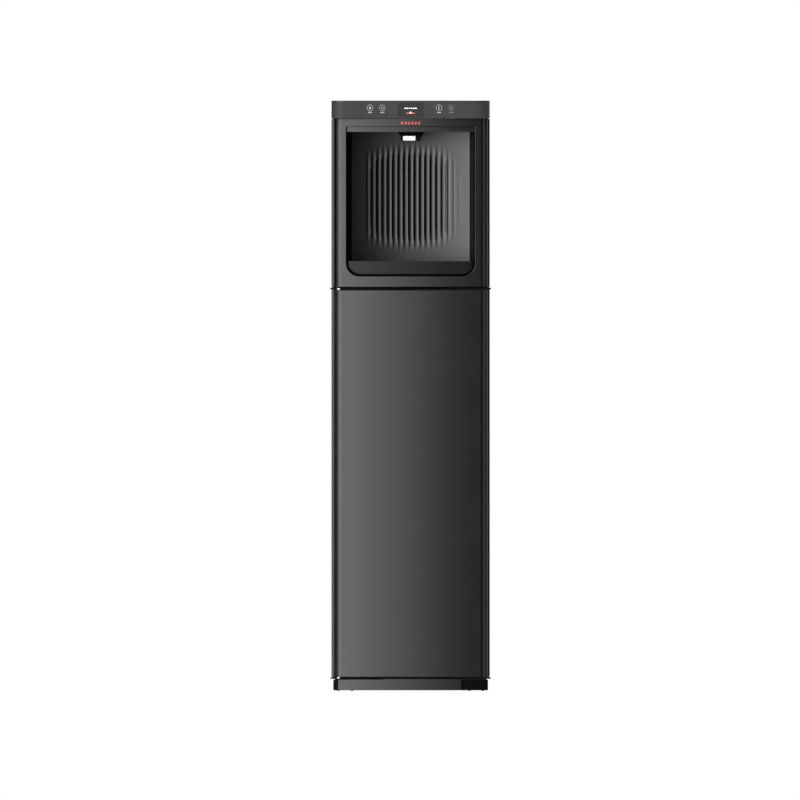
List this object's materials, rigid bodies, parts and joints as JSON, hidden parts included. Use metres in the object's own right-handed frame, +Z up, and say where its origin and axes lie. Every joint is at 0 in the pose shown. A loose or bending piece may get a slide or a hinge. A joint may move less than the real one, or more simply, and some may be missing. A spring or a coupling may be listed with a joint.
{
  "type": "floor-standing water dispenser",
  "caption": "Slim floor-standing water dispenser: lit niche with ribbed concave back, spout and pull-out drip tray above, touch panel on top, hinged filter cabinet door below.",
  "frame": {"origin": "on the floor, at the middle of the footprint", "axes": "+Z up, front towards -Y, +X to the right as seen from the front"},
  "size_m": [0.299, 0.34, 1.1],
  "materials": {
    "black_paint": "satin",
    "black_plate": "satin",
    "front_frame_paint": "satin",
    "fascia_plastic": "satin",
    "plinth_plastic": "satin",
    "control_panel_satin": "satin",
    "display_gloss": "gloss",
    "liner_black": "gloss",
    "back_panel_satin": "satin",
    "tray_plastic": "satin",
    "spout_white": "satin",
    "rear_paint": "matte",
    "service_black": "matte",
    "screw_zinc": "zinc plated",
    "pin_steel": "polished",
    "galvanised": "galvanised",
    "door_liner": "matte",
    "nylon_white": "satin",
    "magnet_dark": "matte",
    "cap_grey": "matte",
    "lever_blue": "satin",
    "tank_paint": "gloss enamel",
    "filter_head": "satin",
    "cartridge_white": "satin",
    "rubber_black": "matte",
    "pump_can": "satin",
    "pump_plastic": "satin",
    "supply_case": "satin",
    "stainless": "brushed",
    "foam": "matte",
    "board_green": "solder mask",
    "tube_white": "translucent satin"
  },
  "bodies": {
    "cabinet": {"left_lower_side_panel": "black_paint", "right_lower_side_panel": "black_paint", "left_upper_side_panel": "black_paint", "right_upper_side_panel": "black_paint", "mid_plate": "black_plate", "base_plate": "black_plate", "hinge_brackets": "black_plate", "hinge_pins": "pin_steel", "chassis_screws": "screw_zinc", "plinth": "plinth_plastic", "rubber_feet": "rubber_black", "rear_lower_panel": "rear_paint", "rear_upper_panel": "rear_paint", "rear_panel_screws": "screw_zinc", "rear_service_recess": "service_black", "mains_inlet": "service_black", "power_switch_housing": "service_black", "water_inlet_fitting": "nylon_white", "drain_fitting": "nylon_white", "top_cover": "black_paint", "control_panel": "control_panel_satin", "display_window": "display_gloss", "display_board": "board_green", "upper_fascia": "fascia_plastic", "niche_liner": "liner_black", "ribbed_back_panel": "back_panel_satin", "niche_ceiling": "liner_black", "ceiling_trim_strip": "fascia_plastic", "nozzle_housing": "liner_black", "outlet_spout": "spout_white", "front_frame": "front_frame_paint", "shelf_plate": "galvanised", "filter_bracket": "galvanised", "filter_manifold": "filter_head", "storage_tank": "tank_paint", "tank_valve": "nylon_white", "rubber_mounts": "rubber_black", "pump_motor": "pump_can", "pump_head": "pump_plastic", "inlet_solenoid_valve": "pump_plastic", "power_supply": "supply_case", "hot_tank": "stainless", "hot_tank_insulation": "foam", "delivery_pump": "pump_plastic", "main_control_board": "board_green", "supply_tube": "tube_white", "nozzle_tube": "tube_white"},
    "door": {"door_outer_panel": "black_paint", "door_end_caps": "plinth_plastic", "door_hinge_bushes": "nylon_white", "door_inner_panel": "door_liner", "door_magnets": "magnet_dark"},
    "drip_tray": {"drip_tray": "tray_plastic"},
    "drip_grille": {"drip_grille": "tray_plastic"},
    "sediment_cartridge": {"sediment_cartridge": "cartridge_white"},
    "carbon_cartridge": {"carbon_cartridge": "cartridge_white"},
    "membrane_cartridge": {"membrane_cartridge": "cartridge_white"},
    "power_rocker": {"power_rocker": "service_black"},
    "tank_valve_lever": {"tank_valve_lever": "lever_blue"},
    "drain_cap": {"drain_cap": "cap_grey"}
  },
  "joints": [
    {"name": "door_hinge", "type": "hinge", "parent": "cabinet", "child": "door", "pos_m": [-0.1343, -0.1484, 0.386], "axis": [0, 0, -1], "range_deg": [0, 105]},
    {"name": "drip_tray_slide", "type": "slide", "parent": "cabinet", "child": "drip_tray", "axis": [0, -1, 0], "range_m": [0, 0.115]},
    {"name": "drip_grille_lift", "type": "slide", "parent": "drip_tray", "child": "drip_grille", "axis": [0, 0, 1], "range_m": [0, 0.06]},
    {"name": "sediment_cartridge_twist", "type": "hinge", "parent": "cabinet", "child": "sediment_cartridge", "pos_m": [-0.078, -0.068, 0.7], "axis": [0, 0, 1], "range_deg": [0, 90]},
    {"name": "carbon_cartridge_twist", "type": "hinge", "parent": "cabinet", "child": "carbon_cartridge", "pos_m": [0, -0.068, 0.7], "axis": [0, 0, 1], "range_deg": [0, 90]},
    {"name": "membrane_cartridge_twist", "type": "hinge", "parent": "cabinet", "child": "membrane_cartridge", "pos_m": [0.078, -0.068, 0.7], "axis": [0, 0, 1], "range_deg": [0, 90]},
    {"name": "power_rocker_tilt", "type": "hinge", "parent": "cabinet", "child": "power_rocker", "pos_m": [-0.012, 0.144, 0.085], "axis": [1, 0, 0], "range_deg": [0, 20]},
    {"name": "tank_valve_turn", "type": "hinge", "parent": "cabinet", "child": "tank_valve_lever", "pos_m": [0, 0.022, 0.279], "axis": [0, -1, 0], "range_deg": [0, 90]},
    {"name": "drain_cap_pull", "type": "slide", "parent": "cabinet", "child": "drain_cap", "axis": [0, 1, 0], "range_m": [0, 0.02]}
  ]
}
